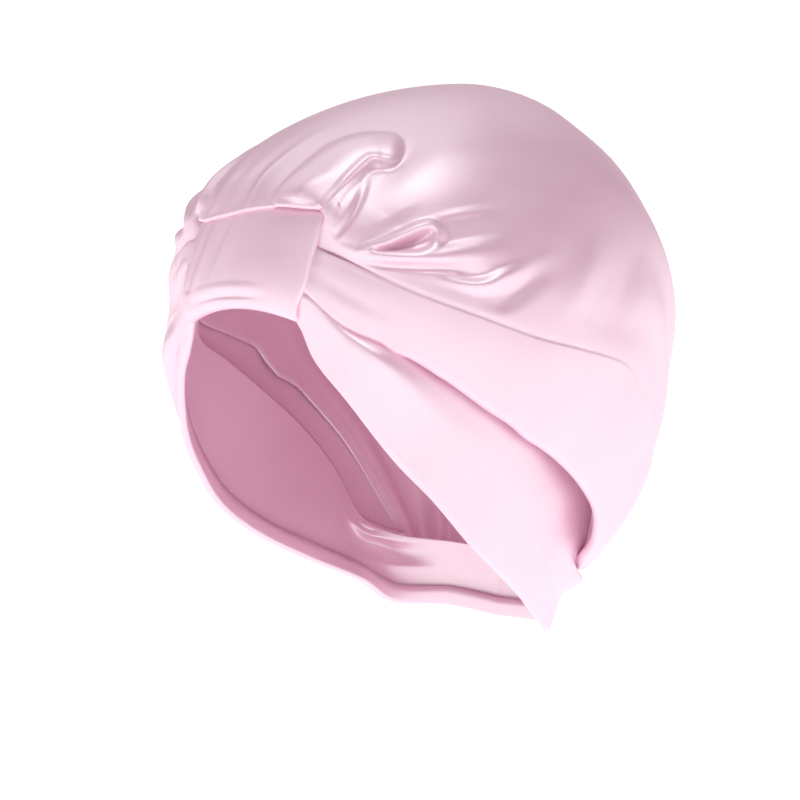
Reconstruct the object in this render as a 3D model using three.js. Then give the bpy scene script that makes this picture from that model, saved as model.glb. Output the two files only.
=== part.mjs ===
// Sleep bonnet: a satin turban cap with a puffed crown, two pleated side drapes, a hem band
// round the face and nape, and a flat loop that gathers them all over the forehead.
// Millimetres. The origin is the middle of the head it sits on: +X is the wearer's left,
// -Y the face and +Z up.
import * as THREE from 'three';

const WALL = 1.6; // satin sewn double
const GAP = 0.4; // air between layers that lie on each other

// The crown's bag is an egg: an ellipsoid whose radii differ before, behind, above and below its centre.
const EGG = {
  centre: new THREE.Vector3(0, 53, 24),
  side: 95,
  front: 178,
  back: 80,
  top: 106,
  bottom: 127,
};

// The crest of the crown runs over the egg from the loop to the nape; angles rise from the face upwards.
const CREST = { front: 35, nape: 244, lag: 1.5 };

// The crown's front edge puffs over the loop's top edge and down past its end.
const LIP = [
  { at: [0, -87, 85.5] },
  { at: [10.5, -86.5, 86] },
  { at: [21.5, -84.5, 87.3] },
  { at: [30.7, -80.2, 86.3] },
  { at: [33, -77.5, 78.5] },
  { at: [32, -78.5, 73] },
];
const LIP_REACH = 0.15; // share of the crown's length over which the lip eases into the bag
const CROWN_PUFF = 5; // the higher, the longer the bag stays full before it is drawn in to its seam

// The crown's side edges are tucked under the drapes' seams: where its cloth starts to sink, where it is
// fully under, the widths of its hidden rows, and how steeply those run inwards.
const TUCK = { from: 0.9, to: 0.97, hidden: [1.02, 1.06], slope: 14 };

// A side drape, from inside the loop's end to the nape: its seam on the crown and its lower rolled edge.
const DRAPE = [
  { seam: [26, -79.3, 71], edge: [26, -81, 64] },
  { seam: [30, -78.5, 71], edge: [30, -82.5, 62] },
  { seam: [34.5, -79, 69.5], edge: [34.5, -84.5, 54.5] },
  { seam: [42, -75.5, 66], edge: [42, -81, 44] },
  { seam: [52, -69.5, 60.5], edge: [51, -74, 38] },
  { seam: [64.5, -57, 53], edge: [61, -64, 31.5] },
  { seam: [75.5, -39, 45], edge: [70, -52, 22] },
  { seam: [84, -13, 35], edge: [78, -34, 8.5] },
  { seam: [89.5, 10, 28.5], edge: [82, -14, -4] },
  { seam: [94, 33.5, 21], edge: [83.5, 4, -15] },
  { seam: [94.5, 45, 10.5], edge: [84.5, 17, -26.5] },
  { seam: [91.5, 61.5, -7.5], edge: [81, 32, -41] },
  { seam: [79, 78.5, -34], edge: [73, 43.5, -56.5] },
  { seam: [57, 82, -67], edge: [61, 54, -73] },
  { seam: [44, 74, -84], edge: [47, 65, -84] },
];
const EDGE_ROLL = { radius: 2.4, turn: 100 }; // the drape's lower edge, rolled under

// The hem band, from the middle of the loop along one side of the face to the nape.
const HEM = [
  { hem: [0, -89.3, 51.5], top: [0, -86.5, 57] },
  { hem: [15, -88, 52.6], top: [15, -85.6, 57.5] },
  { hem: [26, -84.7, 53], top: [26, -82.2, 57] },
  { hem: [31, -83.5, 43], top: [32.5, -75, 48] },
  { hem: [35, -84, 30], top: [40.5, -70, 42] },
  { hem: [45, -79, 15.5], top: [55.5, -57.5, 35] },
  { hem: [57, -66.5, -6.5], top: [68.5, -35.5, 25] },
  { hem: [64.5, -51, -24], top: [75.5, -11, 13] },
  { hem: [67.5, -30, -45], top: [76, 15, -6] },
  { hem: [65, -6, -62], top: [70, 35.5, -27.5] },
  { hem: [57, 20, -77], top: [58, 49.5, -48.5] },
  { hem: [47, 42, -89], top: [46, 60, -68] },
  { hem: [41.5, 60, -101], top: [37, 68, -78] },
  { hem: [22, 78, -106], top: [22, 81, -80] },
  { hem: [0, 82, -108], top: [0, 84, -80] },
];
const HEM_WALL = 2; // turned hem, two layers and their seam
const HEM_SWELL = 0.05; // bulge over the head, as a share of the band's width
const HEAD_HEIGHT = -10; // the band swells away from a point at this height on the head's axis

// The loop: a flat sleeve across the forehead, open at both ends, leaning back and bowed with the brow.
const LOOP = {
  y: -84,
  z: 66,
  halfWidth: 29,
  halfHeight: 22,
  halfDepth: 6,
  wall: 2,
  lean: 20, // degrees back from upright
  bow: 65, // radius of its bend round the brow
  skew: 5.5, // degrees that its wearer's left end is higher
  squareness: 3, // exponent of its rounded section
};

// Folds pressed out of the crown by the gathers: a path on the cloth, half its width, its height, how far
// its ridge leans over its lower side, and its share of that on the wearer's right.
const FOLDS = [
  { from: [23, -88, 88], via: [25, -62, 103], to: [32, -34, 112], width: 9, height: 9, lean: 4, right: 0.1 },
  { from: [33, -84, 80], via: [35, -72, 90], to: [36, -60, 97], width: 5, height: 5, lean: 1, right: 0.4 },
  { from: [40, -84, 71], via: [52, -67, 77], to: [62, -49, 78], width: 6, height: 9, lean: 4, right: 0.6 },
  { from: [42, -82, 68], via: [62, -62, 68], to: [78, -28, 67], width: 6, height: 5, lean: 0, right: 0.7 },
  { from: [70, -46, 57], via: [80, -20, 57], to: [86, 0, 66], width: 8, height: 4, lean: 0, right: 0.6 },
  { from: [90, 4, 40], via: [88, 22, 58], to: [82, 40, 76], width: 9, height: 3, lean: 0, right: 0.6 },
];
const FOLD_STEPS = 16; // points along each fold's path
const FOLD_CLEAR = 0.06; // width beside the tuck over which the folds die out

const SATIN = { color: 0xf1d3e0, roughness: 0.38, metalness: 0, side: THREE.DoubleSide };

const clamp01 = (v) => Math.min(Math.max(v, 0), 1);
const ease = (v) => clamp01(v) ** 2 * (3 - 2 * clamp01(v));
const steps = (count, from = 0, to = 1) =>
  Array.from({ length: count + 1 }, (_, i) => from + (to - from) * i / count);
const mirror = (v) => new THREE.Vector3(-v.x, v.y, v.z);

// A smooth curve through one column of points of a table; u runs from 0 at its first row to 1 at its last.
function along(rows, name, u) {
  const place = clamp01(u) * (rows.length - 1);
  const row = Math.min(Math.floor(place), rows.length - 2);
  const f = place - row;
  const weights = [
    (-f + 2 * f ** 2 - f ** 3) / 2,
    (2 - 5 * f ** 2 + 3 * f ** 3) / 2,
    (f + 4 * f ** 2 - 3 * f ** 3) / 2,
    (f ** 3 - f ** 2) / 2,
  ];
  const point = new THREE.Vector3();
  weights.forEach((weight, i) => {
    const near = Math.min(Math.max(row - 1 + i, 0), rows.length - 1);
    point.addScaledVector(new THREE.Vector3(...rows[near][name]), weight);
  });
  return point;
}

// The egg's radii towards a direction, one for each axis.
function radii(v) {
  return new THREE.Vector3(EGG.side, v.y < 0 ? EGG.front : EGG.back, v.z > 0 ? EGG.top : EGG.bottom);
}

// A point as seen on the unit ball that the egg is stretched from, and its height over the egg.
function onBall(point) {
  const out = point.clone().sub(EGG.centre);
  const ball = out.clone().divide(radii(out));
  const lift = out.length() * (1 - 1 / ball.length());
  return { ball: ball.normalize(), lift };
}

// The point at a height over the egg, towards a point of the unit ball.
function overEgg(ball, lift) {
  const out = ball.clone().normalize().multiply(radii(ball));
  return out.setLength(out.length() + lift).add(EGG.centre);
}

// How far the folds push a point of the crown: out of the egg, and sideways where a ridge leans.
const FOLD_PATHS = FOLDS.map((fold) => {
  const ends = [fold.from, fold.via, fold.to].map((p) => new THREE.Vector3(...p));
  const curve = new THREE.QuadraticBezierCurve3(...ends);
  const samples = steps(FOLD_STEPS).map((u) => ({ at: curve.getPoint(u), heading: curve.getTangent(u) }));
  return { ...fold, samples };
});
function foldPush(point, share) {
  const outward = point.clone().sub(EGG.centre).normalize();
  const push = new THREE.Vector3();
  FOLD_PATHS.forEach((fold) => {
    const apart = (sample) => sample.at.distanceTo(point);
    const near = fold.samples.reduce((a, b) => (apart(a) < apart(b) ? a : b));
    const slope = Math.cos(clamp01(apart(near) / (2 * fold.width)) * Math.PI / 2) ** 4;
    const down = near.heading.clone().cross(outward).normalize();
    push.addScaledVector(outward, share(fold) * slope * fold.height);
    push.addScaledVector(down, share(fold) * slope * fold.lean);
  });
  return push;
}

// A section of the egg through both seams and the crest. t runs from the loop to the nape,
// w from the wearer's right seam at -1 to the left at +1; past that the cloth is tucked in.
const CROWN_START = 1.4 / (DRAPE.length - 1);
function crownSection(t, w) {
  const seam = onBall(along(DRAPE, 'seam', CROWN_START + (1 - CROWN_START) * t));
  const angle = THREE.MathUtils.degToRad(CREST.front + (CREST.nape - CREST.front) * t ** CREST.lag);
  const crest = new THREE.Vector2(-Math.cos(angle), Math.sin(angle));
  const side = new THREE.Vector2(seam.ball.y, seam.ball.z);
  const slope = side.clone().sub(crest).normalize();
  const radius = crest.dot(slope);
  const foot = crest.addScaledVector(slope, -radius);
  const turn = w * Math.acos(THREE.MathUtils.clamp(side.dot(slope) / radius, -1, 1));
  const mid = foot.addScaledVector(slope, radius * Math.cos(turn));
  const ball = new THREE.Vector3(Math.abs(radius) * Math.sin(turn), mid.x, mid.y);
  const tucked = ease((Math.abs(w) - TUCK.from) / (TUCK.to - TUCK.from));
  const sunk = (WALL + GAP) * tucked + TUCK.slope * Math.max(Math.abs(w) - 1, 0);
  return overEgg(ball, seam.lift * Math.min(Math.abs(w), 1) ** CROWN_PUFF - sunk);
}

// The crown: its sections, drawn to the lip over the loop at the front, with the folds pressed out.
function crown(t, w) {
  const point = crownSection(t, w);
  const lip = along(LIP, 'at', Math.abs(w));
  const pull = (w < 0 ? mirror(lip) : lip).sub(crownSection(0, w));
  point.addScaledVector(pull, 1 - ease(t / LIP_REACH));
  const push = w < 0
    ? mirror(foldPush(mirror(point), (fold) => fold.right))
    : foldPush(point, () => 1);
  const free = 1 - ease((Math.abs(w) - TUCK.from + FOLD_CLEAR) / FOLD_CLEAR);
  return point.addScaledVector(push, free * ease(t / LIP_REACH));
}

// A side drape: over the egg from its seam at w = 0 to its edge at 1, then rolled under from 1 to 2.
function drape(t, w) {
  const seam = onBall(along(DRAPE, 'seam', t));
  const edge = onBall(along(DRAPE, 'edge', t));
  const over = (share) =>
    overEgg(seam.ball.clone().lerp(edge.ball, share), seam.lift + (edge.lift - seam.lift) * share);
  const point = over(clamp01(w));
  const down = over(1).sub(over(0.9)).normalize();
  const out = point.clone().sub(EGG.centre).normalize();
  out.addScaledVector(down, -out.dot(down)).normalize();
  const turn = clamp01(w - 1) * THREE.MathUtils.degToRad(EDGE_ROLL.turn);
  point.addScaledVector(out, EDGE_ROLL.radius * (Math.cos(turn) - 1));
  return point.addScaledVector(down, EDGE_ROLL.radius * Math.sin(turn));
}

// The hem band as one ring: u runs once round it from the loop's middle by the wearer's left,
// w from the hem at 0 to the hidden top edge at 1.
function hemBand(u, w) {
  const half = 1 - Math.abs(2 * u - 1);
  const hem = along(HEM, 'hem', half);
  const top = along(HEM, 'top', half);
  const point = hem.clone().lerp(top, w);
  const out = point.clone().sub(new THREE.Vector3(0, point.y / 2, HEAD_HEIGHT)).normalize();
  point.addScaledVector(out, HEM_SWELL * hem.distanceTo(top) * 4 * w * (1 - w));
  return u > 0.5 ? mirror(point) : point;
}

// The loop's sleeve: u runs round its section, x across the forehead.
function loop(u, x) {
  const turn = u * 2 * Math.PI;
  const bend = (v) => Math.sign(v) * Math.abs(v) ** (2 / LOOP.squareness);
  const up = LOOP.halfHeight * bend(Math.sin(turn));
  const fore = LOOP.halfDepth * bend(Math.cos(turn));
  const lean = THREE.MathUtils.degToRad(LOOP.lean);
  const rise = x * Math.tan(THREE.MathUtils.degToRad(LOOP.skew));
  const y = LOOP.y + x * x / (2 * LOOP.bow) + up * Math.sin(lean) - fore * Math.cos(lean);
  const z = LOOP.z + rise + up * Math.cos(lean) + fore * Math.sin(lean);
  return new THREE.Vector3(x, y, z);
}

// A cloth wall: a surface sampled on a grid, the same surface set in by the wall, and their rims joined.
function clothWall(surface, us, vs, wall, closed) {
  const skin = us.map((u) => vs.map((v) => surface(u, v)));
  const last = us.length - 1;
  const rim = vs.length - 1;
  const row = (i) => (closed ? (i + us.length) % us.length : Math.min(Math.max(i, 0), last));
  const inward = us.map((_, i) => vs.map((_, j) => {
    const du = skin[row(i + 1)][j].clone().sub(skin[row(i - 1)][j]);
    const dv = skin[i][Math.min(j + 1, rim)].clone().sub(skin[i][Math.max(j - 1, 0)]);
    return du.cross(dv).normalize().multiplyScalar(-wall);
  }));
  const inner = skin.map((line, i) => line.map((p, j) => p.clone().add(inward[i][j])));
  const points = [...skin.flat(), ...inner.flat()];
  const at = (layer, i, j) => layer * us.length * vs.length + row(i) * vs.length + j;
  const faces = [];
  const quad = (a, b, c, d) => faces.push(a, b, c, a, c, d);
  const lines = closed ? us.length : last;
  for (let i = 0; i < lines; i += 1) {
    for (let j = 0; j < rim; j += 1) {
      quad(at(0, i, j), at(0, i + 1, j), at(0, i + 1, j + 1), at(0, i, j + 1));
      quad(at(1, i, j), at(1, i, j + 1), at(1, i + 1, j + 1), at(1, i + 1, j));
    }
    quad(at(0, i, 0), at(1, i, 0), at(1, i + 1, 0), at(0, i + 1, 0));
    quad(at(0, i, rim), at(0, i + 1, rim), at(1, i + 1, rim), at(1, i, rim));
  }
  for (let j = 0; j < rim && !closed; j += 1) {
    quad(at(0, 0, j), at(0, 0, j + 1), at(1, 0, j + 1), at(1, 0, j));
    quad(at(0, last, j), at(1, last, j), at(1, last, j + 1), at(0, last, j + 1));
  }
  const geometry = new THREE.BufferGeometry();
  const coordinates = points.flatMap((p) => p.toArray());
  geometry.setAttribute('position', new THREE.Float32BufferAttribute(coordinates, 3));
  geometry.setIndex(faces);
  geometry.computeVertexNormals();
  return geometry;
}

const bonnet = new THREE.Group();
function add(name, geometry) {
  const mesh = new THREE.Mesh(geometry, new THREE.MeshStandardMaterial(SATIN));
  mesh.name = name;
  bonnet.add(mesh);
}

// Grids: how many cells each piece has along and across. The crown's lines are closer at the gathered front.
const CROWN_GRID = { along: 32, across: 34, crowding: 1.35 };
const DRAPE_GRID = { along: 42, across: 6, roll: 3 };
const HEM_GRID = { round: 96, across: 5 };
const LOOP_GRID = { round: 28, across: 6 };
const ring = (count) => steps(count - 1, 0, 1 - 1 / count);

const crownLength = steps(CROWN_GRID.along).map((u) => u ** CROWN_GRID.crowding);
const crownWidth = [
  ...TUCK.hidden.map((w) => -w).reverse(),
  ...steps(CROWN_GRID.across, -TUCK.to, TUCK.to),
  ...TUCK.hidden,
];
add('crown', clothWall((t, w) => crown(t, -w), crownLength, crownWidth, WALL, false));

const drapeLength = steps(DRAPE_GRID.along);
const drapeWidth = [...steps(DRAPE_GRID.across), ...steps(DRAPE_GRID.roll, 1, 2).slice(1)];
add('drape_left', clothWall((t, w) => drape(t, w), drapeLength, drapeWidth, WALL, false));
add('drape_right', clothWall((t, w) => mirror(drape(1 - t, w)), drapeLength, drapeWidth, WALL, false));

const hemWidth = steps(HEM_GRID.across);
add('hem_band', clothWall((u, w) => hemBand(u, 1 - w), ring(HEM_GRID.round), hemWidth, HEM_WALL, true));

const loopWidth = steps(LOOP_GRID.across, -LOOP.halfWidth, LOOP.halfWidth);
add('knot_loop', clothWall((u, x) => loop(u, x), ring(LOOP_GRID.round), loopWidth, LOOP.wall, true));

export default bonnet;
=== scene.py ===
import bpy
import numpy as np
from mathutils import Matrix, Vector


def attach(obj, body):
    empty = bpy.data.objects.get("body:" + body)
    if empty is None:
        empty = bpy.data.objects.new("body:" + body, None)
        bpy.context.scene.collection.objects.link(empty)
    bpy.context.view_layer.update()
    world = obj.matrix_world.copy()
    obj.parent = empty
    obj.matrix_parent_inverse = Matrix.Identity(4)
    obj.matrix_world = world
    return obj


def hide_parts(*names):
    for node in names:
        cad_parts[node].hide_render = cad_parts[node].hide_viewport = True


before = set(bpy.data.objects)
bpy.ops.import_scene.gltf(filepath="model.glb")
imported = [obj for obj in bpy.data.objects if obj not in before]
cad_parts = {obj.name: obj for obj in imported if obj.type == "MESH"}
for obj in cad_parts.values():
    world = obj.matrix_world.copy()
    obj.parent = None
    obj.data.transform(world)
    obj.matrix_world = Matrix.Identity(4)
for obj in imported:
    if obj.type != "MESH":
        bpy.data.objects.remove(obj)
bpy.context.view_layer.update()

# Camera: a long lens 0.9 m from the middle of the bonnet, round to the wearer's left and a little above it,
# with the whole bonnet sharp.
CAMERA_AZIMUTH, CAMERA_ELEVATION = 37, 9
CAMERA_DISTANCE = 0.9
CAMERA_LENS, SENSOR_WIDTH = 97.2, 36
LOOK_AT = np.array([0, 0.011, 0])


def towards(azimuth, elevation):
    """Unit vector to a place round the bonnet: degrees from its front to the wearer's left, and up."""
    turn, rise = np.radians([azimuth, elevation])
    return np.array([np.sin(turn) * np.cos(rise), -np.cos(turn) * np.cos(rise), np.sin(rise)])


def aim(name, data, away, distance):
    """An object at a distance from LOOK_AT along the unit vector away, facing back along it."""
    made = bpy.data.objects.new(name, data)
    made.location = LOOK_AT + away * distance
    made.rotation_euler = Vector(away).to_track_quat("Z", "Y").to_euler()
    bpy.context.scene.collection.objects.link(made)
    return made


lens = bpy.data.cameras.new("camera")
lens.sensor_width = SENSOR_WIDTH
lens.lens = CAMERA_LENS
bpy.context.scene.camera = aim("camera", lens, towards(CAMERA_AZIMUTH, CAMERA_ELEVATION), CAMERA_DISTANCE)
bpy.context.scene.view_settings.view_transform = "Standard"

# Studio: a pale, softly lit floor well below the bonnet, which is shown at the height where it is worn, in a
# room that is white near the floor and dim overhead, with soft lights above, behind and before the bonnet.
FLOOR_HEIGHT = -0.24
FLOOR_HALF = 6.0
FLOOR_WHITE = "#f7f5f6"
FLOOR_GLOW = 0.8
FLOOR_ROUGHNESS = 0.9
ROOM_BANDS = [  # sine of the elevation, brightness
    (0.0, 1.05),
    (0.035, 1.0),
    (0.06, 0.55),
    (0.17, 0.3),
    (0.25, 0.08),
    (0.32, 0.03),
]
SOFT_LIGHTS = [  # azimuth, elevation, reach in degrees, brightness
    (115, 67, 23, 3.45),
    (140, 66, 22, 0.55),
    (-150, 30, 38, 0.4),
    (-80, 30, 38, 0.4),
    (-130, 60, 35, 1.0),
    (-95, 55, 30, 0.15),
    (-45, 57, 28, 0.4),
    (-50, 8, 38, 0.45),
    (0, 9, 43, 0.6),
    (32, 36, 26, 0.9),
    (60, 8, 36, 0.8),
    (100, 8, 30, 0.35),
    (150, 6, 30, 0.6),
]


def linear(colour):
    """A hex sRGB colour as linear red, green, blue and alpha."""
    share = np.array([int(colour[i:i + 2], 16) for i in (1, 3, 5)]) / 255
    value = np.where(share <= 0.04045, share / 12.92, ((share + 0.055) / 1.055) ** 2.4)
    return (*value.tolist(), 1.0)


def add_node(tree, kind, inputs={}, **settings):
    """Adds one node: settings are its own properties, and each input is a value or another node's output."""
    made = tree.nodes.new(kind)
    for name, value in settings.items():
        setattr(made, name, value)
    for name, value in inputs.items():
        if isinstance(value, bpy.types.NodeSocket):
            tree.links.new(value, made.inputs[name])
        else:
            made.inputs[name].default_value = value
    return made


floor_mesh = bpy.data.meshes.new("floor")
corners = np.array([(-1, -1, 0), (1, -1, 0), (1, 1, 0), (-1, 1, 0)]) * FLOOR_HALF + [0, 0, FLOOR_HEIGHT]
floor_mesh.from_pydata(corners.tolist(), [], [(0, 1, 2, 3)])
floor = bpy.data.objects.new("floor", floor_mesh)
bpy.context.scene.collection.objects.link(floor)
floor_paint = bpy.data.materials.new("matt floor paint")
floor_paint.use_nodes = True
floor_shader = floor_paint.node_tree.nodes["Principled BSDF"]
floor_shader.inputs["Base Color"].default_value = linear(FLOOR_WHITE)
floor_shader.inputs["Roughness"].default_value = FLOOR_ROUGHNESS
floor_shader.inputs["Emission Color"].default_value = linear(FLOOR_WHITE)
floor_shader.inputs["Emission Strength"].default_value = FLOOR_GLOW
floor_mesh.materials.append(floor_paint)

room = bpy.data.worlds.new("room")
room.use_nodes = True
bpy.context.scene.world = room
view_way = add_node(room.node_tree, "ShaderNodeTexCoord")
height = add_node(room.node_tree, "ShaderNodeSeparateXYZ", {"Vector": view_way.outputs["Generated"]})
share = add_node(room.node_tree, "ShaderNodeMapRange", {"Value": height.outputs["Z"], "From Min": -1.0})
bands = add_node(room.node_tree, "ShaderNodeValToRGB", {"Fac": share.outputs["Result"]})
while len(bands.color_ramp.elements) < len(ROOM_BANDS):
    bands.color_ramp.elements.new(0.5)
for element, (sine, bright) in zip(bands.color_ramp.elements, ROOM_BANDS):
    element.position = (sine + 1) / 2
    element.color = (bright, bright, bright, 1)
glow = bands.outputs["Color"]
for azimuth, elevation, reach, bright in SOFT_LIGHTS:
    facing = add_node(room.node_tree, "ShaderNodeVectorMath", {
        0: view_way.outputs["Generated"], 1: towards(azimuth, elevation)
    }, operation="DOT_PRODUCT")
    patch = add_node(room.node_tree, "ShaderNodeMapRange", {
        "Value": facing.outputs["Value"], "From Min": float(np.cos(np.radians(reach))), "To Max": bright
    }, interpolation_type="SMOOTHSTEP")
    glow = add_node(room.node_tree, "ShaderNodeMath", {0: glow, 1: patch.outputs["Result"]}).outputs["Value"]
room.node_tree.links.new(glow, room.node_tree.nodes["Background"].inputs["Color"])

# Crown: the puffed bag that takes up the hair, one large cut of pink satin sewn double. Its front edge is
# turned under and laid over the loop, its sides are sewn to the drapes, and its back is gathered at the nape.
MM = 0.001  # the tables of cloth are in millimetres
CLOTH_WALL = 0.8
# the plain form under the cloth: an egg, and the angles of its crest from the loop to the nape
EGG = {"side": 95, "front": 178, "back": 80, "top": 106, "bottom": 127}
EGG_CENTRE = np.array([0, 53, 24])
CREST_FRONT, CREST_NAPE, CREST_LAG = 35, 244, 1.5
LIP = [  # front edge from the wearer's right to left: out of one end of the loop, over it, into the other end
    (-25.5, -82.3, 71.5),
    (-25.5, -81.2, 74),
    (-26, -79.6, 76.5),
    (-29.5, -77, 79),
    (-29, -79.4, 79.8),
    (-23.5, -82.2, 80),
    (-15.5, -84.3, 81.7),
    (-7.5, -85.4, 83.4),
    (0, -85.6, 85.1),
    (7.5, -84.7, 86.4),
    (15, -83.4, 86.7),
    (22.5, -81.3, 86.5),
    (30.5, -78.1, 86.2),
    (31.3, -75.2, 83.5),
    (27.5, -77.5, 80),
    (26.5, -79.5, 75.5),
    (26, -81.6, 72),
]
LIP_CORNER = 0.5  # share of the edge that lies over the loop
LIP_REACH = 0.15
LIP_TUCK = {"fade": 0.1, "reach": 0.08}  # past the corner the edge lies plain inside the loop
LIP_ROLL = {"radius": 1.1, "turn": 175, "tail": 5}
LIP_ROLL_ROWS = 6
LIP_TURN = 0.12  # past the corner the roll turns from down the loop's face to inwards
LIP_DOWN, LIP_OUT = np.array([0, -0.5, -0.85]), np.array([0, -0.85, 0.5])
SEAM = [  # seam of crown and drape, from inside the loop to the nape
    (26, -82, 71.5),
    (30.5, -81, 71.2),
    (34.5, -80.3, 69.5),
    (42, -75.5, 66),
    (52, -69.5, 60.5),
    (64.5, -57, 53),
    (75.5, -39, 45),
    (84, -13, 35),
    (89.5, 10, 28.5),
    (94, 33.5, 21),
    (94.5, 45, 10.5),
    (91.5, 61.5, -7.5),
    (79, 78.5, -34),
    (57, 82, -67),
    (47, 78, -78),
]
CROWN_START = 1.4 / (len(SEAM) - 1)
CROWN_PUFF = 5
CROWN_EDGE = 1.05  # the cut edges of its sides lie this far out, under the drapes
SEAM_SINK = {"from": 1.4, "to": 0.3, "depth": 0.42, "slope": 0.15}  # distances from the seam
SEAM_PLAIN = {"from": 0.955, "fade": 0.03}  # shares of the half width at which the folds die out
FOLD_JOIN = 0.1  # the left folds give way to the right ones over this share at the middle
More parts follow.
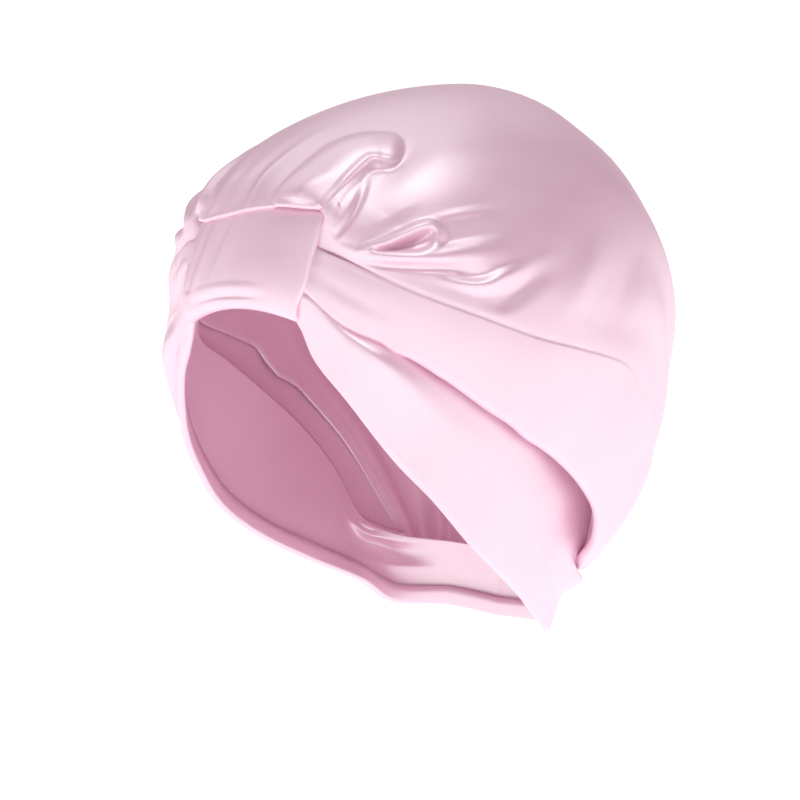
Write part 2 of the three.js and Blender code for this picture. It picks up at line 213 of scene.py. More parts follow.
# soft folds up from the front edge, long ones down the back, and the gathers at the nape: how far they reach
# from front to back and to each side, and waves of size, count across, count along and start
LIP_SLACK = {"depth": 0.55, "start": 0.06, "reach": 0.34, "side": 0.4, "side_fade": 0.2}
LIP_WAVES = [(0.6, 19, 6, 0), (0.5, 34, -9, 1)]
BACK_SLACK = {"depth": 2, "from": 0.36, "full": 0.75, "side": 0.88, "side_fade": 0.1}
BACK_WAVES = [(0.6, 9, 3, 0.6), (0.4, 17, -5, 2), (0.3, 29, 4, 0)]
NAPE_GATHERS = {"depth": 1.8, "from": 0.62, "count": 20}
NAPE_DRIFT = [(1.5, 5, 0, 0), (0.9, 11, 0, 1)]  # waves that set the gathers unevenly apart
LEFT_FOLDS = [  # path, half width at each end, heights along it, lean to lower side, softness, lower share
    # the large pleat at the loop's corner: a plump roll, the step along its near side, the rim that overlaps
    # along its far side and round its end, the shadow past it and the pucker at the front edge
    ([(24.4, -83.4, 87.4), (24, -80.2, 89.6), (23.2, -75.1, 92.8), (23.1, -68.7, 96.9), (23.2, -60.8, 101.2),
      (23.7, -53.4, 104.7), (26, -46.8, 106.9), (30, -41.8, 107.3), (33, -39.5, 106.8)],
     (12, 11.5), (1, 3, 4, 4.4, 4.2, 3.1), 0.3, 1.1, 1.15),
    ([(15.3, -85.9, 86.6), (13.7, -83.2, 89.4), (14.3, -80.1, 92.2), (15.6, -75.8, 95), (16.4, -67.4, 99.9)],
     (4, 4.5), (1.4, 2.1, 2, 1.4, 0), 0.2, 1.2, 3.2),
    ([(32.4, -79.4, 83.9), (31.3, -76.9, 86.8), (31.6, -69.2, 92.1), (31.7, -64.4, 95.1), (31.8, -58, 98.7),
      (32, -50.2, 102.3), (34, -46.8, 102.9), (37, -44, 102.3), (39.5, -40.5, 102.8)],
     (2.2, 2.6), (0, 0.3, 1, 1.1, 1, 0.7, 0), 0.5, 1.3, 0.5),
    ([(34.4, -59.4, 96.4), (34.7, -55.2, 98.5), (36.4, -51.4, 99.4), (39.4, -46.6, 99.8),
      (40.5, -40.5, 101.9), (39, -34.2, 105.4), (35.2, -28.3, 109.7)],
     (3, 3.5), (0, -0.7, -0.7, 0), 0, 2, 1),
    ([(13, -85.5, 86.5), (11.5, -84, 88.5), (11.3, -82, 91), (12.5, -78, 94)],
     (1.4, 2), (-0.8, -0.6, 0), 0, 1.6, 1),
    # the small pleat at the loop's edge: a soft tongue and the groove along its far side
    ([(34, -78, 78), (35, -76, 82), (35.2, -71.5, 86.5), (35, -66, 91), (34.4, -60, 95.5)],
     (5, 5), (0, 1, 0.8, 0), 0, 2, 1),
    ([(36.5, -77.8, 75), (38.8, -76.5, 78.3), (39.8, -72.5, 82.6), (39.4, -67.5, 87.6), (38, -62.4, 92.4),
      (35.6, -57, 97.4)],
     (2, 2.4), (0, -1.4, -1.4, -0.8, 0), 0, 2, 1),
    # the open tube: its lip round from the top to the bottom, its mouth, the dip above it and the roll below
    ([(44.5, -74.2, 71.9), (47, -71.9, 71.8), (50.6, -66.8, 73.2), (54, -59.6, 76), (57, -52.5, 78.6),
      (59.2, -47.5, 79), (61.6, -46, 77), (62.6, -47.5, 74), (62, -51, 71.4), (59.8, -56, 70)],
     (2.5, 3), (0, 2.4, 2.8, 2.4, 0), 0.3, 1.5, 1),
    ([(47.5, -71.4, 71), (54, -63.4, 71.9), (57.4, -56.2, 74), (59.4, -50.6, 75.6)],
     (1.2, 2.3), (0, -5, -2), 0, 1.2, 1),
    ([(42.5, -75.5, 73.6), (47, -70, 76), (52, -60.4, 80), (54.7, -52.5, 83), (58.3, -42, 85.5)],
     (3.5, 5), (0, -0.6, 0), 0, 2, 1),
    ([(36.5, -77.5, 71.5), (45, -73.5, 69.8), (53.2, -66.3, 68), (60.4, -56.6, 67.2), (66, -46, 68),
      (72, -30, 69.5), (76, -16, 70)],
     (2.2, 7), (0, 3.4, 0), 0, 1.6, 1),
    ([(46, -71.5, 66), (51.2, -67.7, 65), (58.2, -60.8, 64.6), (64, -52.6, 64), (69, -42.8, 64),
      (73, -33, 64.6)],
     (1.6, 2.6), (0, -1.8, 0), 0, 1.6, 1),
    # the slack below it: a dip, the ridge that turns up behind it, and a trough to the seam, firm at the back
    ([(64, -52.5, 63), (71, -41, 60.6), (77, -28, 60.5)], (3.5, 4.5), (0, -2, 0), 0, 2, 1),
    ([(60, -58.5, 62), (68.3, -46.6, 59.4), (73, -37.8, 56.8), (76, -30.4, 57.4), (79, -18.8, 60),
      (81, -4, 65), (81, 6, 69)],
     (4, 6), (0, 2.3, 0), 0, 2, 1),
    ([(74, -37, 45.5), (76.7, -29.2, 48.9), (79.3, -22.7, 52.7), (80.6, -14.7, 57.3), (81.2, -6.7, 61.7),
      (81.5, 1, 65)],
     (9, 9), (0, -1.8, -1.8, 0), 0, 2, 0.65),
    # the puff beside the pleats, and long soft streaks up the side and over the top
    ([(49.3, -60.2, 82.3), (49.5, -46.9, 91.4), (49.4, -31, 99.2), (48, -9.4, 107.5), (43.6, 22.4, 116.3)],
     (11, 16), (0.3, 2, 2, 0), 0, 2, 2),
    ([(86.5, 0, 38), (87, 14, 53), (85, 28, 66.3), (82.3, 37.6, 75)], (7, 7), (0, 1.4, 0), 0, 2, 1),
    ([(91.3, 22, 33), (90.8, 38.4, 49.5), (89, 47.8, 58.3), (86.7, 56, 65.8)], (6, 6), (0, -1.3, 0), 0, 2, 1),
    ([(57, -50, 80), (62, -37.8, 82.4), (65.8, -26.6, 83.3), (70, -12, 83.5)],
     (2.2, 4), (0, 0.7, 0), 0, 2, 1),
    ([(0, -84.8, 88), (0, -78, 95.2), (2, -61, 105.3), (2.2, -43, 113.3)], (4, 6), (0.6, 0.8, 0.2), 0, 2, 1),
]
RIGHT_FOLDS = [  # the same for the wearer's right side, mirrored, where the gathers are plainer
    ([(27, -80.5, 82), (29, -73, 90), (31, -60, 98.5), (32, -45, 105)], (4, 6), (0.8, 2.4, 0.5), 0, 2, 1),
    ([(32.5, -76.5, 78), (36, -70, 86), (39, -59, 93), (41, -46, 99)], (3, 5), (0, -1.8, -0.4), 0, 2, 1),
    ([(34, -76.5, 75), (41, -69, 80.5), (47, -58, 86), (52, -45, 90)], (3.5, 6), (0, 2.4, 0.4), 0, 2, 1),
    ([(36, -76.5, 72.5), (46, -69, 75), (55, -57, 78), (62, -43, 80)], (2.5, 5), (0, -2, -0.4), 0, 2, 1),
    ([(42, -74, 69), (53, -65, 70), (63, -51, 71), (72, -33, 71)], (3, 6), (0, 2.2, 0.4), 0, 2, 1),
    ([(52, -68, 64), (65, -52, 62.5), (75, -33, 61), (82, -8, 60)], (3, 6), (-0.4, -1.8, -0.3), 0, 2, 1),
    ([(66, -54, 56), (77, -33, 53), (84, -8, 51), (88, 14, 52)], (4, 7), (0.4, 1.6, 0.3), 0, 2, 1),
]
PATH_STEPS = 48  # places along a fold's path
PAST_END = 2  # how much faster a fold dies out past its path's end than before its start
CROWN_ROWS, CROWN_COLUMNS = 224, 206
FRONT_CROWDING = {"extra": 7, "until": 0.25, "fade": 0.2}  # rows lie closest at the front, for the pleats
LEFT_CROWDING = {"extra": 1.8, "from": 0.2, "fade": 0.2}
RIGHT_CROWDING = {"extra": 0.4, "from": 0.3, "fade": 0.2}
CROWN_FLAT = (0.36, 0.34)
SATIN_PINK = "#eebcd3"
SATIN_DEEP = "#e6aec8"
SATIN_ROUGHNESS = (0.36, 0.42)
SATIN_IOR = 2.5  # the floats mirror more than plain polyester, of about 1.6
YARNS_PER_METRE = (60, 2000)  # streaks about 17 mm long and 0.5 mm apart
YARN_RELIEF = {"Strength": 0.12, "Distance": 0.0003}
TONES_PER_METRE = 30  # the dye varies over about 33 mm


def unit(v):
    """Vectors over their lengths."""
    return v / np.linalg.norm(v, axis=-1, keepdims=True)


def ease(v):
    """0 below 0 and 1 above 1, with a smooth S between: 3 v squared less 2 v cubed."""
    v = np.clip(v, 0, 1)
    return v * v * (3 - 2 * v)


def through(rows, u):
    """Smooth curve through a table's rows, u from 0 at the first to 1 at the last: at each place, the cubic
    through the two nearest rows whose slopes there are half the step between their neighbours."""
    rows = np.asarray(rows, float)
    place = np.clip(u, 0, 1) * (len(rows) - 1)
    row = np.minimum(place.astype(int), len(rows) - 2)
    f = (place - row)[..., None]
    before, start, end, after = (rows[np.clip(row + k, 0, len(rows) - 1)] for k in (-1, 0, 1, 2))
    rising = start * (2 - 5 * f**2 + 3 * f**3) + end * (f + 4 * f**2 - 3 * f**3)
    return (rising + before * (2 * f**2 - f - f**3) + after * (f**3 - f**2)) / 2


def egg_radii(v):
    """The egg's radii towards a direction: they differ before and behind its centre, and above and below."""
    side = np.full(v.shape[:-1], float(EGG["side"]))
    along = np.where(v[..., 1] < 0, EGG["front"], EGG["back"])
    upright = np.where(v[..., 2] > 0, EGG["top"], EGG["bottom"])
    return np.stack([side, along, upright], -1)


def on_ball(points):
    """Points as seen on the unit ball that the egg is stretched from, and their heights over the egg."""
    out = points - EGG_CENTRE
    ball = out / egg_radii(out)
    size = np.linalg.norm(ball, axis=-1)
    return ball / size[..., None], np.linalg.norm(out, axis=-1) * (1 - 1 / size)


def over_egg(ball, lift):
    """Points at a height over the egg towards directions of the unit ball."""
    out = unit(ball) * egg_radii(ball)
    return EGG_CENTRE + out * (1 + lift / np.linalg.norm(out, axis=-1))[..., None]


def mirrored(points):
    """The same points on the wearer's other side."""
    return points * np.array([-1, 1, 1])


def press(points, out, folds):
    """Cloth with folds pressed into it: beside a fold's path it moves along out, leaning to the path's lower
    side, by the fold's height times (1 - square of the distance over the half width)^softness. On the lower
    side the half width is multiplied by the lower share, so a small share makes a crisp overlap and a large
    one a long slope, and past the path's end it is halved."""
    moved = points.copy()
    for path, widths, heights, lean, softness, lower_share in folds:
        line = through(path, np.linspace(0, 1, PATH_STEPS))
        step = np.gradient(line, axis=0)
        near = np.argmin(((points[..., None, :] - line)**2).sum(-1), axis=-1)
        heading = unit(step)[near]
        lower = unit(np.cross(heading, out))
        apart = points - line[near]
        across = (apart * lower).sum(-1)
        ahead = (apart * heading).sum(-1)
        place = (near + ahead / np.linalg.norm(step[near], axis=-1)) / (len(line) - 1)
        before = np.where(near == 0, np.minimum(ahead, 0), 0)
        past = np.where(near == len(line) - 1, np.maximum(ahead, 0), 0) * PAST_END
        width = widths[0] + (widths[1] - widths[0]) * np.clip(place, 0, 1)
        across = np.where(across > 0, across / lower_share, across)
        bump = np.clip(1 - (across**2 + before**2 + past**2) / width**2, 0, 1)**softness
        size = through(np.array(heights)[:, None], place)[..., 0] * bump
        moved += (out + lower * lean) * size[..., None]
    return moved


def rolled(edge, heading, out, roll, rows):
    """Rows of cloth turned under past an edge: an arc of the roll's radius that sets off along heading and
    turns away from out, then a straight tail."""
    turn = np.radians(roll["turn"]) * np.linspace(0, 1, rows + 1)[1:, None, None]
    arc = edge + roll["radius"] * (np.sin(turn) * heading + (np.cos(turn) - 1) * out)
    last = np.cos(turn[-1]) * heading - np.sin(turn[-1]) * out
    tail = arc[-1] + last * roll["tail"] * np.array([0.5, 1])[:, None, None]
    return np.concatenate([arc, tail])


def cloth(name, points, flat, material, node, ring=False):
    """One sheet of cloth as a mesh: a grid of points in millimetres joined in quads, each with its flat place
    as a UV in metres, and a wall on the inner side. A ring's last row joins its first."""
    rows, columns = points.shape[:2]
    at = np.arange(rows * columns).reshape(rows, columns)
    if ring:
        at = np.vstack([at, at[:1]])
    quads = np.stack([at[:-1, :-1], at[1:, :-1], at[1:, 1:], at[:-1, 1:]], -1).reshape(-1, 4)
    mesh = bpy.data.meshes.new(name)
    mesh.from_pydata((points.reshape(-1, 3) * MM).tolist(), [], quads.tolist())
    weave = mesh.uv_layers.new(name="weave")
    weave.data.foreach_set("uv", (flat.reshape(-1, 2) * MM)[quads.ravel()].ravel())
    mesh.shade_smooth()
    mesh.materials.append(material)
    piece = bpy.data.objects.new(name, mesh)
    bpy.context.scene.collection.objects.link(piece)
    wall = piece.modifiers.new("wall", "SOLIDIFY")
    wall.thickness = CLOTH_WALL * MM
    wall.offset = -1
    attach(piece, "root")
    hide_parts(node)
    return piece


def satin_weave():
    """Polyester satin: long floats of fine bright yarn, so it mirrors soft light in broad bands and shows
    only faint streaks along its yarns. Yarns of 0.1 mm are too fine to show and are drawn 0.5 mm apart."""
    material = bpy.data.materials.new("polyester satin weave")
    material.use_nodes = True
    tree = material.node_tree
    shader = tree.nodes["Principled BSDF"]
    flat = add_node(tree, "ShaderNodeUVMap", uv_map="weave")
    yarn_scale = add_node(tree, "ShaderNodeMapping", {
        "Vector": flat.outputs["UV"], "Scale": (*YARNS_PER_METRE, 1)
    })
    yarns = add_node(tree, "ShaderNodeTexNoise", {
        "Vector": yarn_scale.outputs["Vector"], "Scale": 1, "Detail": 2
    }, noise_dimensions="2D")
    tone_scale = add_node(tree, "ShaderNodeMapping", {
        "Vector": flat.outputs["UV"], "Scale": (TONES_PER_METRE, TONES_PER_METRE, 1)
    })
    tones = add_node(tree, "ShaderNodeTexNoise", {
        "Vector": tone_scale.outputs["Vector"], "Scale": 1, "Detail": 1
    }, noise_dimensions="2D")
    tone = add_node(tree, "ShaderNodeMix", {
        "Factor": tones.outputs["Fac"], "A": linear(SATIN_PINK), "B": linear(SATIN_DEEP)
    }, data_type="RGBA")
    gloss = add_node(tree, "ShaderNodeMapRange", {
        "Value": yarns.outputs["Fac"], "To Min": SATIN_ROUGHNESS[0], "To Max": SATIN_ROUGHNESS[1]
    })
    floats = add_node(tree, "ShaderNodeBump", {"Height": yarns.outputs["Fac"], **YARN_RELIEF})
    tree.links.new(tone.outputs["Result"], shader.inputs["Base Color"])
    tree.links.new(gloss.outputs["Result"], shader.inputs["Roughness"])
    tree.links.new(floats.outputs["Normal"], shader.inputs["Normal"])
    shader.inputs["IOR"].default_value = SATIN_IOR
    shader.inputs["Specular IOR Level"].default_value = 1.0
    return material


def crown_section(t, w):
    """The egg's section through both seams and the crest at t, 0 at the loop and 1 at the nape; w runs from
    the wearer's right seam at -1 to the left at 1, where the cloth sinks into the seam."""
    seam, seam_lift = on_ball(through(SEAM, CROWN_START + (1 - CROWN_START) * t))
    angle = np.radians(CREST_FRONT + (CREST_NAPE - CREST_FRONT) * t**CREST_LAG)
    crest = np.stack([-np.cos(angle), np.sin(angle)], -1)
    side = seam[..., 1:]
    slope = unit(side - crest)
    radius = (crest * slope).sum(-1)
    turn = w * np.arccos(np.clip((side * slope).sum(-1) / radius, -1, 1))
    middle = crest + slope * (radius * (np.cos(turn) - 1))[..., None]
    ball = np.concatenate([(np.abs(radius) * np.sin(turn))[..., None], middle], -1)
    outer = np.abs(w)
    short = (1 - outer) * EGG["side"] * np.abs(radius * turn / np.where(w == 0, 1, w))
    sunk = SEAM_SINK["depth"] * ease((SEAM_SINK["from"] - short) / (SEAM_SINK["from"] - SEAM_SINK["to"]))
    sunk = sunk + SEAM_SINK["slope"] * np.maximum(-short, 0)
    return over_egg(ball, seam_lift * np.minimum(outer, 1)**CROWN_PUFF - sunk)


def waves(rows, w, t):
    """Sum of sine waves over the cloth: each row's size times the sine of (across w + along t + start)."""
    return sum(size * np.sin(across * w + along * t + start) for size, across, along, start in rows)


def crown(t, w):
    """The crown's sections, drawn to the lip at the front, with the folds of each side. Waves of slack run up
    from the lip and down the back, and gathers, a cosine across with a drifting count, close the nape."""
    lip = through(LIP, 0.5 + w / (2 * CROWN_EDGE))
    drawn = 1 - ease(t / LIP_REACH)
    points = crown_section(t, w) + (lip - crown_section(np.zeros_like(t), w)) * drawn[..., None]
    out = unit(points - EGG_CENTRE)
    outer = np.abs(w)
    left = press(points, out, LEFT_FOLDS) - points
    right = mirrored(press(mirrored(points), mirrored(out), RIGHT_FOLDS)) - points
    tucked = ease((outer - LIP_CORNER) / LIP_TUCK["fade"]) * (1 - ease(t / LIP_TUCK["reach"]))
    free = (1 - ease((outer - SEAM_PLAIN["from"]) / SEAM_PLAIN["fade"])) * (1 - tucked)
    on_left = ease(0.5 + w / FOLD_JOIN)
    folds = left * (on_left * free)[..., None] + right * ((1 - on_left) * free)[..., None]
    front = LIP_SLACK["depth"] * ease(t / LIP_SLACK["start"]) * (1 - ease(t / LIP_SLACK["reach"]))
    front = front * (1 - ease((outer - LIP_SLACK["side"]) / LIP_SLACK["side_fade"]))
    back = BACK_SLACK["depth"] * ease((t - BACK_SLACK["from"]) / (BACK_SLACK["full"] - BACK_SLACK["from"]))
    back = back * (1 - ease((outer - BACK_SLACK["side"]) / BACK_SLACK["side_fade"]))
    nape = NAPE_GATHERS["depth"] * ease((t - NAPE_GATHERS["from"]) / (1 - NAPE_GATHERS["from"]))
    gathers = np.cos(w * np.pi * NAPE_GATHERS["count"] / 2 + waves(NAPE_DRIFT, w, t))
    slack = front * waves(LIP_WAVES, w, t) + back * waves(BACK_WAVES, w, t) + nape * gathers
    return points + folds + out * slack[..., None]


def crowded(start, end, count, density):
    """A count of places from start to end, as close together as the density at each place asks."""
    fine = np.linspace(start, end, 2000)
    packed = np.cumsum(density(fine))
    return np.interp(np.linspace(packed[0], packed[-1], count), packed, fine)


def row_density(t):
    """One, and the extra at the front, which fades out behind the pleats."""
    return 1 + FRONT_CROWDING["extra"] * (1 - ease((t - FRONT_CROWDING["until"]) / FRONT_CROWDING["fade"]))


def column_density(w):
    """One, and each side's extra, which fades in from the crown's middle."""
    left, right = (
        side["extra"] * ease((place - side["from"]) / side["fade"])
        for side, place in ((LEFT_CROWDING, w), (RIGHT_CROWDING, -w))
    )
    return 1 + left + right


def flat_grid(along, across):
    """Each point's place on the flat cloth: its row's along and its column's across, in millimetres."""
    return np.stack(np.meshgrid(along, across, indexing="ij"), -1)


satin = satin_weave()
columns_w = crowded(-CROWN_EDGE, CROWN_EDGE, CROWN_COLUMNS, column_density)
rows_t = crowded(0, 1, CROWN_ROWS, row_density)
crown_t, crown_w = np.meshgrid(rows_t, columns_w, indexing="ij")
crown_points = crown(crown_t, crown_w)
inside = ease((np.abs(columns_w) - LIP_CORNER) / LIP_TURN)[:, None]
lip_in = -np.sign(columns_w)[:, None] * np.array([1, 0, 0])
lip_heading = unit(LIP_DOWN * (1 - inside) + lip_in * inside)
lip_out = unit(LIP_OUT * (1 - inside) + np.array([0, -1, 0]) * inside)
lip_rows = rolled(crown_points[0], lip_heading, lip_out, LIP_ROLL, LIP_ROLL_ROWS)
crown_points = np.concatenate([lip_rows[::-1], crown_points])
crown_flat = flat_grid(
    np.concatenate([np.arange(-len(lip_rows), 0), rows_t * CROWN_FLAT[1] / MM]),
    columns_w * CROWN_FLAT[0] / MM / 2,
)
crown_piece = cloth("crown_bag", crown_points[:, ::-1], crown_flat, satin, "crown")

# Side drapes: a strip of satin on each side, sewn to the crown along its upper edge, gathered into the loop
# in front and drawn in at the nape, with its lower edge rolled under over the band.
EDGE = [  # lower edge, row for row beside the seam
    (26, -87.2, 56.3),
    (30, -86.5, 55.2),
    (35.2, -84.8, 50.5),
    (42, -81, 44),
    (51, -74, 38),
    (61, -64, 31.5),
    (70, -52, 22),
    (78, -34, 8.5),
    (82, -14, -4),
    (83.5, 4, -15),
    (85.5, 17.8, -26.5),
    (83, 33.5, -41),
    (74.8, 45, -56.5),
    (60.5, 57, -70),
    (48, 70, -77),
]
DRAPE_ROLL = {"radius": 1.5, "turn": 175, "tail": 5}
DRAPE_ROWS, DRAPE_COLUMNS, DRAPE_ROLL_ROWS = 300, 56, 10
DRAPE_CROWDING = 1.5  # columns lie closer towards the seam
SEAM_DIP = {"depth": 0.22, "width": 1}  # the edge that is sewn down
DRAPE_FOLDS = [  # the wearer's left drape beside the loop, in the columns of the crown's folds
    ([(32, -82, 66), (44, -76, 59), (58, -64, 51)], (3, 5), (0.1, 0.25, 0), 0, 2, 1),
    ([(32, -83.5, 62), (43, -78, 54), (56, -68, 45)], (2.5, 4), (-0.1, -0.2, 0), 0, 2, 1),
    ([(32, -85, 58), (44, -80, 50), (58, -66, 40)], (3, 5), (0.1, 0.3, 0), 0, 2, 1),
]
RIGHT_DRAPE_FOLDS = [  # the wearer's right drape, mirrored: drawn in behind the loop
    ([(34, -83, 60), (46, -77, 50), (57, -67, 44), (68, -50, 35)], (11, 11), (-1, -2.5, -2, 0), 0, 2, 1),
    ([(32, -83, 62), (43, -78, 55), (56, -68, 46)], (3, 5), (0.3, 0.6, 0), 0, 2, 1),
    (EDGE[1:6], (9, 9), (-1, -3, -3, -1.5, 0), 0, 2, 1),
]
# small slack waves of the lower edge: place along it, width, drop, and the share of the drape above them
EDGE_WIGGLES = [(0.3, 0.02, -0.6), (0.33, 0.02, 1), (0.53, 0.025, -0.5), (0.565, 0.025, 0.6)]
WIGGLE_FROM = 0.8
DRAPE_FLAT = (0.055, 0.25)


def drape(t, w):
    """A drape on the wearer's left, t along it: over the egg from its seam at w = 0, where it dips, to its
    lower edge at 1, less the radius of the edge's roll, with a bell-shaped drop at each of its wiggles."""
    length = np.linalg.norm(through(EDGE, t) - through(SEAM, t), axis=-1)
    w = w * (1 - DRAPE_ROLL["radius"] / length)
    seam, seam_lift = on_ball(through(SEAM, t))
    edge, edge_lift = on_ball(through(EDGE, t))
    dip = SEAM_DIP["depth"] * (1 - ease(w * length / SEAM_DIP["width"]))
    points = over_egg(seam + (edge - seam) * w[..., None], seam_lift + (edge_lift - seam_lift) * w - dip)
    fall = unit(edge - seam)
    near_edge = ease((w - WIGGLE_FROM) / (1 - WIGGLE_FROM))
    for place, width, drop in EDGE_WIGGLES:
        points = points + fall * (drop * np.exp(-((t - place) / width)**2) * near_edge)[..., None]
    return points


def flat_cut(size, rows, columns):
    """Places of an even grid over a flat cut whose size is its width and length in metres."""
    return flat_grid(np.linspace(0, size[1] / MM, rows), np.linspace(0, size[0] / MM, columns))


for side_name, left in (("left", True), ("right", False)):
    drape_t, drape_w = np.meshgrid(
        np.linspace(0, 1, DRAPE_ROWS), np.linspace(0, 1, DRAPE_COLUMNS)**DRAPE_CROWDING, indexing="ij"
    )
    drape_points = drape(drape_t, drape_w)
    drape_out = unit(drape_points - EGG_CENTRE)
    drape_points = press(drape_points, drape_out, DRAPE_FOLDS if left else RIGHT_DRAPE_FOLDS)
    edge_heading = unit(drape_points[:, -1] - drape_points[:, -4])
    edge_out = drape_out[:, -1]
    edge_out = unit(edge_out - edge_heading * (edge_out * edge_heading).sum(-1, keepdims=True))
    edge_rows = rolled(drape_points[:, -1], edge_heading, edge_out, DRAPE_ROLL, DRAPE_ROLL_ROWS)
    drape_points = np.concatenate([drape_points, edge_rows.transpose(1, 0, 2)], 1)
    drape_points = drape_points if left else mirrored(drape_points)[::-1]
    drape_flat = flat_cut(DRAPE_FLAT, *drape_points.shape[:2])
    drape_piece = cloth(
        f"side_drape_{side_name}", drape_points, drape_flat, satin, f"drape_{side_name}"
    )

# Hem band: one ring of satin round the forehead, face and nape under the drapes. Its lower edge is a turned
# hem, and beside the loop its slack makes a ridge over a hollow under the drape.
HEM = [  # hem, from the middle of the loop by the wearer's left to the nape
    (0, -90, 51),
    (12, -89.5, 50.5),
    (22.5, -87.5, 48.8),
    (27.6, -85.8, 42.5),
    (33, -83.6, 30.2),
    (45, -79, 15.5),
    (57, -66.5, -6.5),
    (64.5, -51, -24),
    (67.5, -30, -45),
    (65, -6, -62),
    (57, 20, -77),
    (47, 42, -89),
    (42.5, 61, -101.5),
    (25, 81, -104),
    (0, 85, -106),
]
BAND_TOP = [  # hidden upper edge, row for row above the hem
    (0, -86.5, 57),
    (15, -85.6, 57.5),
    (26, -82.2, 57),
    (33, -71, 50.5),
    (40, -62, 46),
    (54.5, -51, 39),
    (68.5, -35.5, 25),
    (75.5, -11, 13),
    (77, 16.5, -5),
    (76, 40, -23),
    (68, 53, -43),
    (59, 60, -65),
    (45, 68, -73),
    (23, 81, -76),
    (0, 85, -77),
]
RIDGE = [  # crest between hem and top, row for row: crisp beside the loop, then a soft swell
    (0, -89.5, 54.5),
    (15, -88.2, 55),
    (25.5, -87.2, 54.8),
    (33, -86.2, 52.3),
    (43.4, -82.3, 41.3),
    (57, -74, 29.6),
    (64.6, -52.8, 9.8),
    (71.8, -31.5, -5.2),
    (73.8, -7.5, -25.7),
    (69.3, 14.9, -45.5),
    (60, 35, -63.5),
    (53, 49.5, -80.5),
    (43.5, 65, -91.5),
    (24, 82, -92.5),
    (0, 86, -93.5),
]
NAPE_ROLL = [  # the slack under the end of each drape, in the columns of the crown's folds
    ([(54, 46, -71), (56, 56, -76.5), (51, 64, -80), (42, 71, -82), (28, 80, -83)],
     (4, 6), (0, 6, 7, 3, 0), 0, 1.2, 1),
]
GROOVE_UP = 0.3  # the groove's place on the way from the hem to the crest
GROOVE = (1 - GROOVE_UP) * np.array(HEM[4:9]) + GROOVE_UP * np.array(RIDGE[4:9])
RIGHT_BAND_FOLDS = [  # the wearer's right side, mirrored: its crest and hem drawn in, a groove between
    ([(33, -86, 52), (43.4, -82.3, 41.3), (57, -74, 29.6), (65, -53, 10)], (8, 8), (-1, -3, 0), 0, 2, 1),
    (HEM[4:10], (9, 9), (0, -3, -4, -3.5, -1.5, 0), 0, 1.5, 1),
    (GROOVE, (3, 3), (0, -2.5, -3, -2.5, 0), 0, 1.3, 1),
]
CREST_BEND = 0.05
HEM_ROLL = {"radius": 0.9, "turn": 180, "tail": 7}
BAND_ROWS, BAND_COLUMNS, HEM_ROLL_ROWS = 520, 48, 8
BAND_FLAT = (0.055, 0.52)


def band(u, w):
    """The band as a ring: u once round from the loop's middle by the wearer's left, w from the hem at 0 over
    the crest at 0.5 to the top at 1, straight on both sides of the crest, whose bend a hyperbola rounds."""
    half = 1 - np.abs(2 * u - 1)
    hem, ridge, top = (through(rows, half) for rows in (HEM, RIDGE, BAND_TOP))
    past = (w - 0.5 + np.sqrt((w - 0.5)**2 + CREST_BEND**2)) / 2
    points = hem + (ridge - hem) * (2 * (w - past))[..., None] + (top - ridge) * (2 * past)[..., None]
    return np.where((u > 0.5)[..., None], mirrored(points), points)


band_u, band_w = np.meshgrid(np.arange(BAND_ROWS) / BAND_ROWS, np.linspace(1, 0, BAND_COLUMNS), indexing="ij")
band_points = band(band_u, band_w)
band_out = unit(band_points * np.array([1, 1, 0]) + np.array([0, 0, 1e-6]))
left_half = press(band_points, band_out, NAPE_ROLL)
right_half = mirrored(press(mirrored(band_points), mirrored(band_out), NAPE_ROLL + RIGHT_BAND_FOLDS))
band_points = np.where((band_u > 0.5)[..., None], right_half, left_half)
hem_heading = unit(band_points[:, -1] - band_points[:, -3])
hem_along = unit(np.roll(band_points[:, -1], -1, axis=0) - np.roll(band_points[:, -1], 1, axis=0))
hem_out = unit(np.cross(hem_heading, hem_along))
hem_rows = rolled(band_points[:, -1], hem_heading, hem_out, HEM_ROLL, HEM_ROLL_ROWS)
band_points = np.concatenate([band_points, hem_rows.transpose(1, 0, 2)], 1)
band_flat = flat_cut(BAND_FLAT, *band_points.shape[:2])
band_piece = cloth("face_band", band_points, band_flat, satin, "hem_band", ring=True)

# Knot loop: a flat sleeve of satin across the forehead, bowed with the brow, that gathers the crown's lip,
# the drapes and the band. Its ends are turned in, and soft pleats cross the wearer's right half of its face.
LOOP = {"y": -82.8, "z": 68.2, "half_width": 29.7, "half_height": 23, "half_depth": 6}
LOOP_SQUARENESS = 2.3
LOOP_LEAN, LOOP_SKEW = np.radians([20, 4.8])
LOOP_BOW = 87  # radius of the forehead under it
LOOP_ARCH, LOOP_SHEAR = 5.6, 1.2
LOOP_NARROWING = {"by": 3, "from": 0.4}  # below this share of the half height
LOOP_ROLL = {"radius": 0.7, "turn": 180, "tail": 4}
LOOP_FOLDS = [  # path across and up the face, then the columns of the crown's folds
    ([(-0.8, -0.84), (-0.3, -0.85), (0.2, -0.85), (0.6, -0.82)], (1.6, 1.6), (-0.2, -0.8, 0), 0, 1.5, 1),
    ([(-0.8, -0.7), (-0.3, -0.72), (0.2, -0.72), (0.6, -0.7)], (2.5, 2.5), (0.2, 0.5, 0), 0, 2, 1),
    ([(-0.66, 0.62), (-0.78, 0), (-0.9, -0.6)], (2.2, 2.2), (-0.5, -0.9, -0.5), 0, 1.2, 1),
    ([(-0.5, 0.6), (-0.6, 0), (-0.74, -0.6)], (3, 3), (0.3, 0.6, 0.2), 0, 2, 1),
    ([(-0.25, 0.6), (-0.38, 0), (-0.5, -0.5)], (3.5, 3.5), (-0.4, -0.5, -0.1), 0, 2, 1),
    ([(0.02, 0.62), (-0.1, 0), (-0.2, -0.4)], (4, 4), (0.2, 0.3, 0), 0, 2, 1),
]
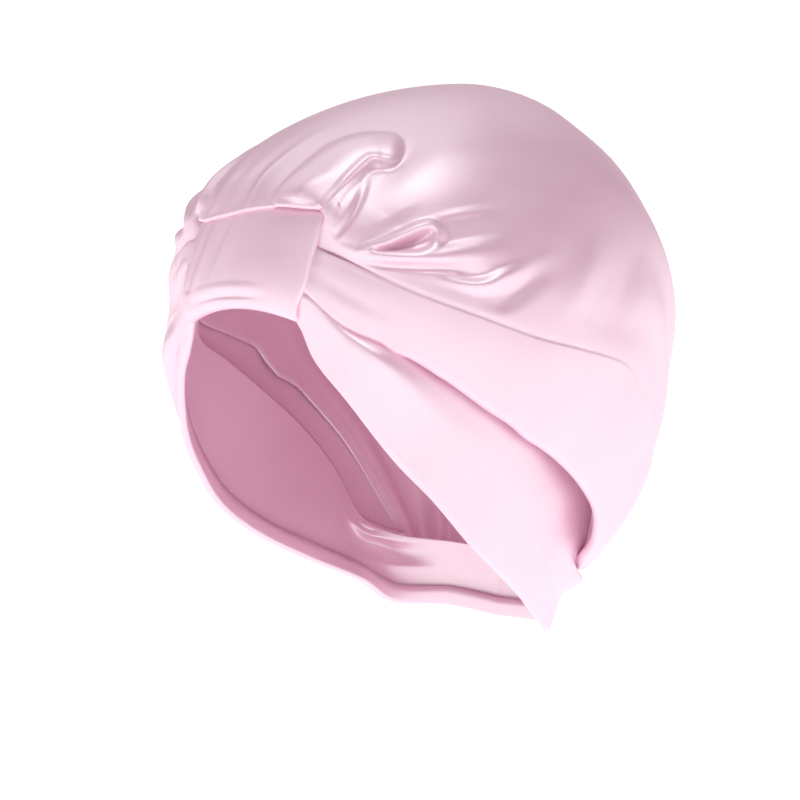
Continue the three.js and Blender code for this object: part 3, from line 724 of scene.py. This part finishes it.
FACE_FADE = 0.3  # the folds die out over this share of the depth
LOOP_ROUND, LOOP_ACROSS, LOOP_ROLL_ROWS = 220, 120, 6
LOOP_FLAT = (0.07, 0.105)


def loop_face(s, up, fore):
    """A place on the loop: s across from -1 to 1, up and fore on a rounded square of its height and depth
    that leans back, set along the bow of the forehead, arched over it, sheared and narrowed to the bottom."""
    low = ease((-up - LOOP_NARROWING["from"]) / (1 - LOOP_NARROWING["from"]))
    half = LOOP["half_width"] - LOOP_NARROWING["by"] * low
    x = s * half + LOOP_SHEAR * up
    rise, depth = LOOP["half_height"] * up, LOOP["half_depth"] * fore
    y = LOOP["y"] + x * x / (2 * LOOP_BOW) + rise * np.sin(LOOP_LEAN) - depth * np.cos(LOOP_LEAN)
    arch = LOOP_ARCH * (1 / 3 - s * s) + x * np.tan(LOOP_SKEW)
    return np.stack([x, y, LOOP["z"] + arch + rise * np.cos(LOOP_LEAN) + depth * np.sin(LOOP_LEAN)], -1)


loop_turn, loop_s = np.meshgrid(
    np.arange(LOOP_ROUND) * 2 * np.pi / LOOP_ROUND, np.linspace(-1, 1, LOOP_ACROSS), indexing="ij"
)
round_place = np.stack([np.sin(loop_turn), np.cos(loop_turn)])
loop_up, loop_fore = round_place / (np.abs(round_place)**LOOP_SQUARENESS).sum(0)**(1 / LOOP_SQUARENESS)
loop_points = loop_face(loop_s, loop_up, loop_fore)
loop_out = np.array([0, -np.cos(LOOP_LEAN), np.sin(LOOP_LEAN)]) + np.zeros_like(loop_points)
face_folds = []
for path, *fold in LOOP_FOLDS:
    across, up = np.array(path).T
    fore = (1 - np.abs(up)**LOOP_SQUARENESS)**(1 / LOOP_SQUARENESS)
    face_folds.append((loop_face(across, up, fore), *fold))
face_only = ease(loop_fore / FACE_FADE)[..., None]
loop_points = loop_points + (press(loop_points, loop_out, face_folds) - loop_points) * face_only
loop_round = np.roll(loop_points, -1, axis=0) - np.roll(loop_points, 1, axis=0)
ends = []
for end, before, way in ((0, 2, 1), (-1, -3, -1)):
    heading = unit(loop_points[:, end] - loop_points[:, before])
    out = unit(np.cross(loop_round[:, end], heading)) * way
    ends.append(rolled(loop_points[:, end], heading, out, LOOP_ROLL, LOOP_ROLL_ROWS).transpose(1, 0, 2))
loop_points = np.concatenate([ends[0][:, ::-1], loop_points, ends[1]], 1)
loop_flat = flat_cut(LOOP_FLAT, *loop_points.shape[:2])
loop_piece = cloth("forehead_loop", loop_points, loop_flat, satin, "knot_loop", ring=True)
